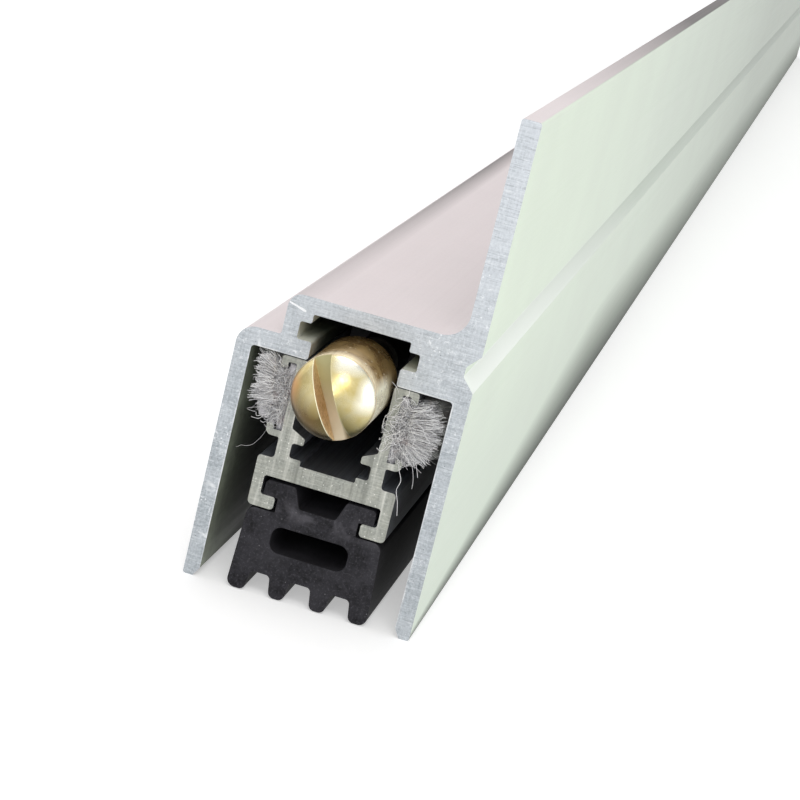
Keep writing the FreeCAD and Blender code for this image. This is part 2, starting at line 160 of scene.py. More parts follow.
# Loose threads as the photograph shows them: how far each stands in front of the sawn end, and
# its places across the section as X and Z in millimetres. The last one hangs behind the end.
stray_routes = (
    (0.6, [(7.3, 20.3), (8.0, 19.5), (8.7, 18.9), (9.3, 17.5)]),
    (0.7, [(7.4, 20.0), (7.9, 19.1), (8.5, 18.4), (8.9, 17.2), (9.0, 16.2)]),
    (0.5, [(7.4, 19.6), (7.8, 19.05), (8.5, 18.6), (9.5, 18.05)]),
    (0.8, [(7.0, 18.9), (7.6, 18.3), (8.3, 18.8)]),
    (0.7, [(6.9, 18.6), (7.2, 17.7), (7.7, 16.7), (7.5, 15.6), (7.9, 14.4), (8.2, 13.0)]),
    (0.7, [(4.4, 21.3), (4.45, 22.3), (4.75, 23.1), (5.55, 24.2), (6.25, 25.6)]),
    (0.5, [(4.4, 21.1), (5.2, 20.6), (5.9, 20.3)]),
    (0.9, [(4.75, 21.7), (5.4, 22.2), (6.3, 22.6), (6.7, 23.15), (6.4, 23.75), (6.1, 23.6)]),
    (1.0, [(6.75, 22.9), (7.3, 22.4), (7.9, 21.7), (8.1, 21.4), (8.0, 20.6)]),
    (1.0, [(7.4, 23.0), (8.0, 22.9), (8.6, 22.75), (9.0, 22.1), (9.7, 21.5)]),
    (0.7, [(5.0, 19.0), (5.45, 19.4), (5.95, 20.15), (6.5, 20.8)]),
    (0.8, [(4.8, 21.6), (5.6, 21.45), (6.15, 21.05), (6.05, 20.5), (5.7, 20.2)]),
    (0.5, [(5.3, 25.2), (4.9, 26.0), (4.3, 26.4)]),
    (0.6, [(7.2, 24.0), (7.9, 24.7), (8.7, 25.1), (9.2, 25.3)]),
    (0.5, [(-6.9, 19.5), (-7.7, 19.2), (-8.2, 18.7), (-9.0, 18.65)]),
    (0.6, [(-6.9, 20.1), (-7.5, 19.9), (-8.3, 19.95), (-9.6, 19.4), (-8.6, 19.3)]),
    (0.5, [(-7.0, 24.7), (-7.45, 25.1), (-7.35, 25.5), (-7.7, 25.75)]),
    (0.7, [(-7.6, 22.6), (-8.3, 22.0), (-8.6, 21.4), (-8.4, 20.7)]),
    (-1.2, [(-6.9, 18.9), (-7.25, 17.8), (-7.75, 16.6), (-8.4, 15.5), (-9.1, 15.0),
           (-9.7, 14.9), (-10.2, 14.5)]),
)

# Photograph's camera
camera_place = (0.0404, -0.63903, 0.0866)
camera_right = (0.9493, 0.2084, 0.2353)
camera_up = (-0.2786, 0.2110, 0.9369)
camera_back = (0.1456, -0.9550, 0.2584)
camera_lens_mm = 106.5
camera_sensor_mm = 36.0

# Studio: lamps as place, what they aim at, diameter and watts
world_light = 0.56
white_light = (1.0, 1.0, 1.0, 1.0)
floor_reach = 40.0
floor_colour = 0.80
floor_glow_near = 0.42
floor_glow_far = 0.56
glow_near_reach = 0.4
glow_far_reach = 1.0
lamps = (
    ("key_lamp", (0.18, -0.90, 0.66), (0.0, -0.40, 0.02), 0.35, 1.5),
    ("front_lamp", (-0.03, -1.15, 0.34), (0.0, -0.40, 0.02), 0.40, 1.1),
    ("right_lamp", (0.95, -0.25, 0.28), (0.0, -0.38, 0.02), 0.50, 1.2),
    ("top_lamp", (-0.08, 0.25, 1.05), (0.0, -0.10, 0.02), 0.70, 1.7),
    ("left_lamp", (-0.95, 0.20, 0.30), (0.0, 0.05, 0.02), 0.60, 1.0),
)


def srgb(red, green, blue):
    """Linear colour with alpha from 0 to 255 screen values."""
    def linear(value):
        value /= 255.0
        return value / 12.92 if value <= 0.04045 else ((value + 0.055) / 1.055) ** 2.4
    return (linear(red), linear(green), linear(blue), 1.0)


def from_front(distance_mm):
    """Place along the seal in metres, by its distance from the sawn front end."""
    return (front_y_mm + distance_mm) * MM


class Shader:
    """Builds one node material, with short calls for the nodes that recur."""

    def __init__(self, name):
        self.material = bpy.data.materials.new(name)
        self.material.use_nodes = True
        self.tree = self.material.node_tree
        self.bsdf = self.tree.nodes["Principled BSDF"]
        coords = self.add("ShaderNodeTexCoord")
        self.place = coords.outputs["Object"]
        split = self.add("ShaderNodeSeparateXYZ")
        self.link(self.place, split.inputs[0])
        self.x, self.y, self.z = split.outputs
        facing = self.add("ShaderNodeSeparateXYZ")
        self.link(coords.outputs["Normal"], facing.inputs[0])
        self.nx, self.ny, self.nz = facing.outputs

    def add(self, kind, **settings):
        node = self.tree.nodes.new(kind)
        for key, value in settings.items():
            setattr(node, key, value)
        return node

    def link(self, source, target):
        """Feed a socket from another socket, or give it a plain value."""
        if hasattr(source, "is_output"):
            self.tree.links.new(source, target)
        else:
            target.default_value = source

    def set(self, **values):
        """Shader sockets by name, with spaces written as underscores."""
        for key, value in values.items():
            self.link(value, self.bsdf.inputs[key.replace("_", " ")])

    # Numbers

    def math(self, operation, first, second=0.0, clamp=False):
        node = self.add("ShaderNodeMath", operation=operation, use_clamp=clamp)
        self.link(first, node.inputs[0])
        self.link(second, node.inputs[1])
        return node.outputs[0]

    def scaled(self, value, factor):
        return self.math("MULTIPLY", value, factor)

    def gap(self, value, middle):
        """Distance of a value from another, without its sign."""
        return self.math("ABSOLUTE", self.math("SUBTRACT", value, middle))

    def span(self, value, low, high, out_low=0.0, out_high=1.0):
        """Clamped change of range."""
        node = self.add("ShaderNodeMapRange")
        self.link(value, node.inputs["Value"])
        node.inputs["From Min"].default_value = low
        node.inputs["From Max"].default_value = high
        node.inputs["To Min"].default_value = out_low
        node.inputs["To Max"].default_value = out_high
        return node.outputs["Result"]

    def blend(self, amount, first, second):
        """Mix of two numbers."""
        node = self.add("ShaderNodeMix", data_type="FLOAT")
        self.link(amount, node.inputs[0])
        self.link(first, node.inputs[2])
        self.link(second, node.inputs[3])
        return node.outputs[0]

    # Masks, from 0 to 1

    def over(self, value, limit):
        return self.math("GREATER_THAN", value, limit)

    def under(self, value, limit):
        return self.math("LESS_THAN", value, limit)

    def every(self, first, *others):
        """Product of masks: 1 only where each of them is 1."""
        for other in others:
            first = self.math("MULTIPLY", first, other)
        return first

    def either(self, first, second):
        """The stronger of two masks."""
        return self.math("MAXIMUM", first, second)

    def sawn(self):
        """1 on the faces cut square across the length."""
        return self.over(self.math("ABSOLUTE", self.ny), facing_limit)

    def within(self, half_width_mm, top_mm):
        """1 inside a box about the middle plane, below a height."""
        return self.every(self.under(self.math("ABSOLUTE", self.x), half_width_mm * MM),
                          self.under(self.z, top_mm * MM))

    # Textures and colours

    def stretched(self, scale, turn=(0.0, 0.0, 0.0)):
        """Object place scaled per axis, for streaks and grain."""
        node = self.add("ShaderNodeMapping")
        self.link(self.place, node.inputs["Vector"])
        node.inputs["Scale"].default_value = scale
        node.inputs["Rotation"].default_value = turn
        return node.outputs[0]

    def noise(self, scale, detail=3.0, roughness=0.55, place=None, distortion=0.0):
        node = self.add("ShaderNodeTexNoise")
        self.link(place or self.place, node.inputs["Vector"])
        node.inputs["Scale"].default_value = scale
        node.inputs["Detail"].default_value = detail
        node.inputs["Roughness"].default_value = roughness
        node.inputs["Distortion"].default_value = distortion
        return node.outputs["Fac"]

    def flecks(self, scale, size):
        """1 in small scattered dots."""
        cells = self.add("ShaderNodeTexVoronoi")
        self.link(self.place, cells.inputs["Vector"])
        cells.inputs["Scale"].default_value = scale
        return self.span(cells.outputs["Distance"], size, size * 0.5)

    def mix(self, amount, first, second):
        """Mix of two colours."""
        node = self.add("ShaderNodeMix", data_type="RGBA")
        self.link(amount, node.inputs[0])
        self.link(first, node.inputs[6])
        self.link(second, node.inputs[7])
        return node.outputs[2]

    def bump(self, height, strength, depth_mm):
        node = self.add("ShaderNodeBump")
        node.inputs["Strength"].default_value = strength
        node.inputs["Distance"].default_value = depth_mm * MM
        self.link(height, node.inputs["Height"])
        return node.outputs[0]


def saw_marks(s, turn_degrees):
    """Fine scratches across the cut faces, as a height."""
    turn = (0.0, math.radians(turn_degrees), 0.0)
    streaks = s.noise(1.0, 4.0, 0.6, s.stretched((420.0, 1.0, 9000.0), turn))
    cross = s.noise(1.0, 3.0, 0.6, s.stretched((7000.0, 1.0, 700.0), turn))
    return s.math("ADD", s.scaled(streaks, 0.7), s.scaled(cross, 0.3))


def edge_line(s, across, place_mm, along, low_mm, high_mm):
    """1 on a hair line at one place across, between two places along it."""
    return s.every(s.under(s.gap(across, place_mm * MM), burr_half_mm * MM),
                   s.over(along, low_mm * MM), s.under(along, high_mm * MM))


def painted_edge_shade(s):
    """Amount of painted shade toward some edges, which also dulls the finish there.

    They are the right side's lower edge, in a band that widens away from the plunger end, the
    left leg's tip, the crown's outer edge and the top of the flange.
    """
    along = s.math("SUBTRACT", s.y, from_front(5.0))
    width = s.math("ADD", s.scaled(along, band_growth), band_start_mm * MM)
    width = s.math("MAXIMUM", s.math("MINIMUM", width, band_limit_mm * MM), 1.0 * MM)
    right = s.math("SUBTRACT", 1.0, s.math("DIVIDE", s.z, width), clamp=True)
    right = s.every(right, s.over(s.nx, facing_limit),
                    s.span(s.y, from_front(150.0), from_front(420.0), 0.92, 0.6))
    left = s.every(s.under(s.nx, -facing_limit), s.span(s.z, 0.0, 6.0 * MM, 0.4, 0.0))
    crown = s.every(s.span(s.x, -4.6 * MM, -7.8 * MM), s.over(s.z, (crown_top_mm - 1.6) * MM),
                    s.span(s.y, from_front(8.0), from_front(110.0), 0.25, 0.85))
    top = s.every(s.span(s.nz, 0.5, 0.9), s.over(s.z, (flange_top_mm - 1.0) * MM),
                  s.span(s.y, from_front(12.0), from_front(170.0), 0.0, 0.8))
    return s.either(s.either(right, left), s.either(crown, top))


def housing_skin(s, grain, edge_shade):
    """Satin anodised outside, with painted light: lighter and pinkish on top, greenish on the
    flange side, lighter near the plunger end, and painted shade far away.
    """
    # Painted light: faces turned up get a lighter, pinkish copy of the colour, and faces turned
    # sideways a greenish one
    skin = s.mix(s.span(s.nz, 0.2, 0.8), srgb(212, 211, 210), srgb(228, 217, 218))
    # Painted light: the flange side is painted lighter near the plunger end
    near_flange = s.every(s.span(s.z, 12.0 * MM, 34.0 * MM),
                          s.span(s.y, from_front(5.0), from_front(160.0), 1.0, 0.0))
    green = s.mix(near_flange, srgb(218, 229, 215), srgb(232, 245, 226))
    skin = s.mix(s.span(s.nx, 0.2, 0.8), skin, green)
    cloud = s.noise(60.0, 4.0, 0.5)
    skin = s.mix(s.span(cloud, 0.35, 0.7, 0.0, 0.10), skin, srgb(190, 188, 186))
    skin = s.mix(s.span(grain, 0.35, 0.7, 0.0, 0.08), skin, srgb(160, 158, 156))
    # Painted shade: the sides are painted darker away from the plunger end
    far = s.every(s.over(s.nx, 0.05),
                  s.span(s.y, from_front(130.0), from_front(450.0), 0.0, 0.45))
    skin = s.mix(far, skin, srgb(136, 141, 136))
    # Painted shade toward the right side's lower edge, the left leg's tip, the crown's outer edge
    # and the flange top
    skin = s.mix(edge_shade, skin, srgb(44, 46, 44))
    return groove_painted_light(s, skin, far)


def groove_painted_light(s, skin, far):
    """Painted light on both walls of the V groove: a painted highlight near the plunger end that
    fades to painted shade away from it.
    """
    groove = s.every(s.over(s.x, groove_floor_mm * MM),
                     s.under(s.gap(s.z, groove_z_mm * MM), groove_half_mm * MM))
    near = s.span(s.y, from_front(20.0), from_front(150.0), 1.0, 0.0)
    lower = s.every(groove, s.over(s.nz, 0.12))
    tone = s.mix(near, s.mix(far, srgb(200, 210, 199), srgb(140, 145, 140)), srgb(250, 254, 250))
    skin = s.mix(s.scaled(lower, 0.85), skin, tone)
    upper = s.every(groove, s.under(s.nz, -0.12), s.span(near, 0.0, 1.0, 0.9, 0.5))
    return s.mix(upper, skin, s.mix(far, srgb(246, 255, 244), srgb(172, 177, 172)))


def housing_inside(s):
    """Walls of the cavity and the channel: painted shade that darkens them with depth, and a
    painted highlight at the channel's mouth.
    """
    from_end = s.math("MINIMUM", s.math("SUBTRACT", s.y, front_y_mm * MM),
                      s.math("SUBTRACT", far_y_mm * MM, s.y))
    # Painted shade: the walls darken with distance from the ends
    inner = s.mix(s.span(from_end, 0.0, 14.0 * MM), srgb(172, 182, 160), srgb(62, 64, 58))
    inner = s.mix(s.span(s.noise(700.0), 0.35, 0.7, 0.0, 0.4), inner, srgb(98, 100, 92))
    # Painted highlight at the channel's mouth near both ends
    mouth = s.every(s.span(from_end, 7.0 * MM, 1.0 * MM), s.over(s.z, cavity_top_mm * MM))
    return s.mix(s.scaled(mouth, 0.9), inner, srgb(250, 252, 242))


def crown_nick_glint(s):
    """1 on the nick at the crown's outer corner of the front face, which is painted bright as a
    glint.
    """
    along = s.math("SUBTRACT", s.x, nick_x_mm * MM)
    across = s.math("ADD", s.math("SUBTRACT", s.z, nick_z_mm * MM), s.scaled(along, nick_slope))
    across = s.math("ADD", across, s.span(s.noise(1800.0), 0.3, 0.7, -0.05 * MM, 0.05 * MM))
    return s.every(s.under(s.math("ABSOLUTE", along), 0.95 * MM),
                   s.under(s.math("ABSOLUTE", across), 0.11 * MM), s.under(s.ny, 0.0))


def housing_cut(s):
    """Colour, roughness and height of the sawn face: mottled, scratched and speckled."""
    marks = saw_marks(s, 38.0)
    mottle = s.noise(3600.0, 4.0, 0.65)
    patch = s.noise(420.0, 4.0, 0.6)
    smear = s.noise(230.0, 3.0, 0.6, distortion=1.4)
    bare = s.mix(s.span(mottle, 0.36, 0.66), srgb(152, 159, 164), srgb(196, 202, 207))
    bare = s.mix(s.span(patch, 0.4, 0.7, 0.0, 0.45), bare, srgb(206, 211, 216))
    # Painted light: the sawn face is painted lighter toward the top
    bare = s.mix(s.span(s.z, 18.0 * MM, 40.0 * MM, 0.0, 0.40), bare, srgb(230, 234, 240))
    bare = s.mix(s.span(marks, 0.52, 0.68, 0.0, 0.6), bare, srgb(230, 234, 237))
    bare = s.mix(s.span(marks, 0.46, 0.34, 0.0, 0.5), bare, srgb(128, 134, 139))
    bare = s.mix(s.span(smear, 0.64, 0.74, 0.0, 0.7), bare, srgb(240, 242, 244))
    crowd = s.span(s.noise(160.0, 2.0), 0.42, 0.62)
    spots = s.either(s.span(s.noise(1500.0, 3.0, 0.75), 0.58, 0.66), s.flecks(1400.0, 0.16))
    dots = s.either(s.every(spots, crowd),
                    s.every(s.flecks(3000.0, 0.14), s.span(patch, 0.45, 0.6)))
    bare = s.mix(s.scaled(dots, 0.75), bare, srgb(242, 244, 247))
    bare = s.mix(s.scaled(s.flecks(900.0, 0.075), 0.7), bare, srgb(96, 98, 102))
    # The crown's nick, painted bright as a glint
    bare = s.mix(s.scaled(crown_nick_glint(s), 0.8), bare, srgb(248, 249, 251))
    # Burrs along the cavity's edges, painted bright as glints
    roof = edge_line(s, s.z, cavity_top_mm + 0.06, s.x, -cavity_half_mm, cavity_half_mm)
    legs = edge_line(s, s.math("ABSOLUTE", s.x), cavity_half_mm + 0.06, s.z, 1.0, cavity_top_mm)
    burr_glint = s.every(s.either(roof, legs), s.span(s.noise(500.0, 3.0), 0.42, 0.62, 0.15, 0.7))
    bare = s.mix(burr_glint, bare, srgb(244, 245, 246))
    height = s.math("ADD", s.scaled(marks, 0.5), s.math("ADD", s.scaled(mottle, 0.5), dots))
    return bare, s.span(mottle, 0.3, 0.7, 0.42, 0.58), height


def housing_material():
    """Satin anodised extrusion with bare sawn ends and an inside darkened by painted shade."""
    s = Shader("housing_aluminium")
    cut = s.sawn()
    grain = s.noise(5200.0, 3.0, 0.6)
    draw_lines = s.noise(1.0, 4.0, 0.6, s.stretched((3200.0, 6.0, 3200.0)))
    edge_shade = painted_edge_shade(s)
    inside = s.either(s.within(cavity_half_mm + 0.05, cavity_top_mm + 0.15),
                      s.within(channel_half_mm, ceiling_z_mm + 0.05))
    skin = s.mix(inside, housing_skin(s, grain, edge_shade), housing_inside(s))
    skin_rough = s.math("ADD", s.span(draw_lines, 0.3, 0.7, 0.40, 0.50), s.scaled(edge_shade, 0.25))
    skin_height = s.math("ADD", s.scaled(draw_lines, 0.5), s.scaled(grain, 0.5))
    bare, cut_rough, cut_height = housing_cut(s)
    s.set(Base_Color=s.mix(cut, skin, bare),
          Metallic=s.blend(cut, s.span(edge_shade, 0.0, 1.0, 0.3, 0.0), 0.55),
          Roughness=s.blend(cut, skin_rough, cut_rough),
          Specular_IOR_Level=0.3,
          Normal=s.bump(s.blend(cut, skin_height, cut_height), 0.3, cut_relief_mm))
    return s.material


def drop_bar_material():
    """Mill finish extrusion, darker than the housing, with a bluish skin and a banded cut."""
    s = Shader("drop_bar_aluminium")
    cut = s.sawn()
    draw = s.noise(1.0, 5.0, 0.65, s.stretched((4200.0, 5.0, 4200.0)))
    skin = s.mix(s.span(draw, 0.35, 0.68), srgb(112, 116, 124), srgb(148, 152, 160))
    marks = saw_marks(s, -74.0)
    mottle = s.noise(3400.0, 4.0, 0.65)
    patch = s.noise(500.0, 4.0, 0.6)
    bands = s.noise(1.0, 3.0, 0.7, s.stretched((1300.0, 1.0, 60.0)))
    bare = s.mix(s.span(mottle, 0.36, 0.66), srgb(138, 141, 135), srgb(172, 174, 166))
    bare = s.mix(s.span(patch, 0.42, 0.7, 0.0, 0.5), bare, srgb(184, 184, 173))
    bare = s.mix(s.span(marks, 0.50, 0.68, 0.0, 0.55), bare, srgb(214, 215, 208))
    bare = s.mix(s.span(bands, 0.54, 0.72, 0.0, 0.7), bare, srgb(222, 222, 214))
    bare = s.mix(s.span(bands, 0.46, 0.32, 0.0, 0.6), bare, srgb(122, 124, 118))
    bare = s.mix(s.flecks(2200.0, 0.16), bare, srgb(240, 240, 234))
    height = s.blend(cut, draw, s.math("ADD", marks, s.scaled(mottle, 0.5)))
    s.set(Base_Color=s.mix(cut, skin, bare),
          Metallic=s.blend(cut, 0.7, 0.55),
          Roughness=s.blend(cut, 0.42, s.span(mottle, 0.3, 0.7, 0.40, 0.56)),
          Specular_IOR_Level=0.3,
          Normal=s.bump(height, 0.3, cut_relief_mm))
    return s.material


def rubber_material():
    """Dull extruded rubber with draw lines and a clouded cut face, smeared below its head."""
    s = Shader("seal_rubber")
    cut = s.sawn()
    speck = s.noise(3800.0, 4.0, 0.7)
    mottle = s.noise(1300.0, 4.0, 0.65)
    cloud = s.noise(260.0, 4.0, 0.6)
    lines = s.noise(1.0, 3.0, 0.6, s.stretched((2600.0, 8.0, 2600.0)))
    skin = s.mix(s.span(cloud, 0.35, 0.7), srgb(30, 29, 32), srgb(46, 45, 49))
    face = s.mix(s.span(mottle, 0.36, 0.66), srgb(8, 8, 11), srgb(46, 45, 50))
    face = s.mix(s.span(cloud, 0.44, 0.62, 0.0, 0.55), face, srgb(60, 59, 64))
    face = s.mix(s.span(speck, 0.52, 0.70, 0.0, 0.5), face, srgb(100, 98, 104))
    smear = s.every(s.span(s.gap(s.z, rubber_neck_mm * MM), 1.5 * MM, 0.4 * MM),
                    s.span(s.noise(330.0, 3.0, distortion=1.0), 0.42, 0.62))
    face = s.mix(s.scaled(smear, 0.55), face, srgb(98, 96, 102))
    face = s.mix(s.scaled(s.flecks(900.0, 0.07), 0.5), face, srgb(150, 148, 152))
    s.set(Base_Color=s.mix(cut, skin, face),
          Roughness=s.blend(cut, 0.62, s.span(speck, 0.3, 0.7, 0.66, 0.84)),
          Specular_IOR_Level=0.25,
          Normal=s.bump(s.blend(cut, lines, s.math("ADD", speck, mottle)), 0.5, 0.08))
    return s.material


def brass_nose(s, above, stain, speck):
    """Polished nose: gold, with painted highlights at its right and top, a painted olive
    reflection and a painted coppery highlight on the left, and a painted dark reflection below.
    """
    gold = s.mix(s.span(stain, 0.34, 0.66), srgb(234, 223, 178), srgb(198, 180, 116))
    olive = s.mix(s.span(speck, 0.4, 0.7), srgb(132, 116, 72), srgb(158, 140, 88))
    # Painted reflection: the dome's left side turns olive
    gold = s.mix(s.span(s.x, -1.7 * MM, -3.5 * MM, 0.0, 0.7), gold, olive)
    # Painted highlight: a coppery band near the dome's left rim
    copper_highlight = s.every(s.span(s.x, -2.9 * MM, -4.0 * MM),
                     s.span(s.gap(above, -0.6 * MM), 2.6 * MM, 1.2 * MM))
    gold = s.mix(s.scaled(copper_highlight, 0.75), gold, srgb(222, 158, 92))
    # Painted highlights at the dome's right and top
    right = s.every(s.span(s.x, 2.3 * MM, 3.3 * MM), s.span(above, -0.8 * MM, 0.6 * MM),
                    s.span(above, 3.6 * MM, 2.8 * MM))
    top = s.every(s.span(above, 2.9 * MM, 3.8 * MM), s.span(s.x, -0.8 * MM, 0.2 * MM))
    gold = s.mix(s.scaled(s.either(right, top), 0.9), gold, srgb(255, 254, 240))
    # The painted dark reflection below reaches higher right of the slot than left of it, but not
    # at the right rim
    height = s.math("ADD", above, s.scaled(s.math("MAXIMUM", s.x, 0.0), 0.7))
    height = s.math("SUBTRACT", height, s.span(s.x, -0.6 * MM, 0.6 * MM, 0.5 * MM, 2.0 * MM))
    height = s.math("ADD", height, s.span(stain, 0.3, 0.7, -0.45 * MM, 0.45 * MM))
    dark_reflection = s.mix(s.span(s.x, -1.0 * MM, 1.0 * MM), srgb(92, 72, 40), srgb(88, 80, 46))
    return s.mix(s.span(height, 0.6 * MM, -2.5 * MM, 0.0, 0.93), gold, dark_reflection)


def brass_barrel(s, above, stain, rim):
    """Brown behind the rim as painted shade, with painted highlights as a light crescent on top
    and on its right side.
    """
    brown = s.mix(s.span(stain, 0.32, 0.68), srgb(124, 94, 56), srgb(192, 162, 108))
    # Painted highlight on the barrel's right side
    beside = s.every(s.span(s.nx, 0.3, 0.8), s.span(above, 2.5 * MM, 1.5 * MM),
                     s.span(s.y, rim + 9.0 * MM, rim + 4.5 * MM),
                     s.span(stain, 0.3, 0.5, 0.7, 1.0))
    brown = s.mix(beside, brown, srgb(250, 244, 216))
    # Painted highlight: a light crescent on top behind the rim
    crescent = s.every(s.span(s.y, rim + 2.4 * MM, rim + 0.6 * MM, 0.0, 0.9),
                       s.span(above, 1.4 * MM, 2.4 * MM))
    return s.mix(crescent, brown, srgb(255, 236, 196))


def brass_edge_wear_and_highlight(s, colour, across, rim):
    """Bright lips of the slot and a bright rim, partly wear and partly painted highlight; the
    left lip is brighter as a painted highlight.
    """
    from_lip = s.gap(s.math("ABSOLUTE", across), plunger_slot_mm / 2 * MM)
    lips = s.every(s.under(from_lip, 0.10 * MM), s.under(s.y, rim),
                   s.span(across, -0.2 * MM, 0.2 * MM, 1.0, 0.2))
    wear_and_highlight = s.either(lips, s.under(s.gap(s.y, rim), 0.05 * MM))
    return s.mix(s.scaled(wear_and_highlight, 0.8), colour, srgb(255, 250, 218))


def brass_material():
    """Turned brass: polished nose, a barrel browned by painted shade, and a milled slot with
    brown walls.
    """
    s = Shader("turned_brass")
    rim = from_front(plunger_rim_mm)
    above = s.math("SUBTRACT", s.z, axis_z_mm * MM)
    across = s.math("ADD", s.scaled(s.x, math.cos(plunger_slot_turn)),
                    s.scaled(above, math.sin(plunger_slot_turn)))
    turning = s.noise(1.0, 4.0, 0.6, s.stretched((500.0, 9000.0, 500.0)))
    stain = s.noise(330.0, 5.0, 0.62, distortion=0.6)
    speck = s.noise(2600.0, 4.0, 0.7)
    behind = s.span(s.y, rim + 0.05 * MM, rim + 0.35 * MM)
    colour = s.mix(behind, brass_nose(s, above, stain, speck), brass_barrel(s, above, stain, rim))
    colour = s.mix(s.span(speck, 0.66, 0.78, 0.0, 0.6), colour, srgb(104, 78, 44))
    nicks = s.either(s.flecks(1100.0, 0.16), s.span(s.noise(2100.0, 2.0), 0.70, 0.74))
    colour = s.mix(s.every(nicks, behind), colour, srgb(250, 240, 208))
    colour = brass_edge_wear_and_highlight(s, colour, across, rim)

    # The slot's floor gets a painted shadow beside its right wall
    wall = s.every(s.under(s.y, rim + 0.15 * MM), s.under(s.math("ABSOLUTE", s.ny), 0.22))
    wall_tone = s.mix(s.span(speck, 0.4, 0.65), srgb(236, 208, 164), srgb(200, 170, 122))
    slot_floor = s.every(s.over(s.y, rim + 0.05 * MM), s.under(s.ny, -0.8))
    floor_tone = s.mix(s.span(above, 1.6 * MM, -1.6 * MM), srgb(164, 158, 118),
                       srgb(196, 182, 156))
    corner = s.every(slot_floor, s.span(across, 0.15 * MM, 0.55 * MM),
                     s.span(above, 0.8 * MM, -0.8 * MM))
    colour = s.mix(slot_floor, s.mix(wall, colour, wall_tone), floor_tone)
    colour = s.mix(s.scaled(corner, 0.85), colour, srgb(84, 70, 36))
    polish = s.span(stain, 0.3, 0.75, 0.20, 0.38)
    s.set(Base_Color=colour,
          Metallic=s.math("MINIMUM", s.span(behind, 0.0, 1.0, 1.0, 0.5), s.blend(wall, 1.0, 0.7)),
          Roughness=s.blend(s.either(wall, slot_floor), polish, 0.5),
          Normal=s.bump(s.math("ADD", turning, s.scaled(speck, 0.6)), 0.2, 0.03))
    return s.material


def steel_material(name, dark, light, roughness):
    """Plated or drawn steel with fine lines along its length."""
    s = Shader(name)
    lines = s.noise(1.0, 4.0, 0.6, s.stretched((2500.0, 60.0, 2500.0)))
    spot = s.noise(600.0, 4.0, 0.6)
    s.set(Base_Color=s.mix(s.span(spot, 0.3, 0.7), dark, light), Metallic=0.9,
          Roughness=s.span(lines, 0.3, 0.7, roughness - 0.06, roughness + 0.08),
          Normal=s.bump(lines, 0.3, 0.04))
    return s.material


def threaded_steel_material():
    """Plated rod, darkened by oil at its front end, which carries a fine thread."""
    s = Shader("threaded_rod_steel")
    thread_pitch = 0.7 * MM
    wave = s.math("SINE", s.scaled(s.y, 2.0 * math.pi / thread_pitch))
    spot = s.noise(600.0, 4.0, 0.6)
    height = s.math("ADD", s.every(wave, s.under(s.y, from_front(11.0))), s.scaled(spot, 0.2))
    plated = s.mix(s.span(spot, 0.3, 0.7), srgb(128, 129, 131), srgb(176, 177, 179))
    oiled = s.mix(s.span(spot, 0.3, 0.7), srgb(34, 32, 30), srgb(58, 55, 50))
    clean = s.span(s.y, from_front(18.0), from_front(45.0))
    s.set(Base_Color=s.mix(clean, oiled, plated), Metallic=0.9, Roughness=0.42,
          Normal=s.bump(height, 0.6, 0.15))
    return s.material


def nylon_material():
    """Black moulded nylon with a faint grain."""
    s = Shader("moulded_nylon")
    grain = s.noise(3000.0, 3.0, 0.6)
    cloud = s.noise(200.0, 3.0, 0.5)
    s.set(Base_Color=s.mix(s.span(cloud, 0.3, 0.7), srgb(28, 28, 30), srgb(42, 42, 44)),
          Roughness=s.span(grain, 0.3, 0.7, 0.42, 0.55), Specular_IOR_Level=0.35,
          Normal=s.bump(grain, 0.25, 0.05))
    return s.material


def pile_material(name, dark, light):
    """Crimped synthetic fibre, lighter and darker from thread to thread, warm in places."""
    s = Shader(name)
    each = s.add("ShaderNodeNewGeometry").outputs["Random Per Island"]
    thread = s.noise(2400.0, 3.0, 0.6)
    tuft = s.noise(420.0, 3.0, 0.6)
    tone = s.math("ADD", s.scaled(each, 0.75),
                  s.math("ADD", s.scaled(thread, 0.25), s.scaled(tuft, 0.35)))
    warm = s.span(s.noise(650.0, 2.0), 0.60, 0.70, 0.0, 0.35)
    colour = s.mix(s.span(tone, 0.38, 0.80), dark, light)
    s.set(Base_Color=s.mix(warm, colour, srgb(206, 176, 172)), Roughness=0.6,
          Sheen_Weight=0.5, Sheen_Roughness=0.4,
          Normal=s.bump(s.noise(6000.0, 2.0), 0.2, 0.03))
    return s.material


def assign(node, material):
    """Give a carried-over solid its finish."""
    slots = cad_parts[node].data.materials
    slots.clear()
    slots.append(material)


def new_piece(name, vertices, faces, material, smooth=True):
    mesh = bpy.data.meshes.new(name)
    mesh.from_pydata(vertices, [], faces)
    mesh.update()
    if smooth:
        mesh.shade_smooth()
    mesh.materials.append(material)
    piece = bpy.data.objects.new(name, mesh)
    bpy.context.scene.collection.objects.link(piece)
    return piece


def apply_modifiers(piece):
    """Bake the modifiers into the mesh."""
    graph = bpy.context.evaluated_depsgraph_get()
    mesh = bpy.data.meshes.new_from_object(piece.evaluated_get(graph))
    piece.modifiers.clear()
    piece.data = mesh


def plunger_profile():
    """Radius and place of the turned outline, nose first, in millimetres."""
    radius, dome = plunger_radius_mm, plunger_dome_mm
    ball = (radius ** 2 + dome ** 2) / (2 * dome)
    nose = plunger_rim_mm - dome
    edge = math.asin(radius / ball)
    steps = 14
    points = [(ball * math.sin(edge * i / steps), nose + ball * (1 - math.cos(edge * i / steps)))
              for i in range(steps + 1)]
    points += [(radius, plunger_tail_mm - plunger_chamfer_mm),
               (radius - plunger_chamfer_mm, plunger_tail_mm),
               (plunger_bore_mm, plunger_tail_mm),
               (plunger_bore_mm, plunger_tail_mm - plunger_bore_depth_mm),
               (0.0, plunger_tail_mm - plunger_bore_depth_mm)]
    return points


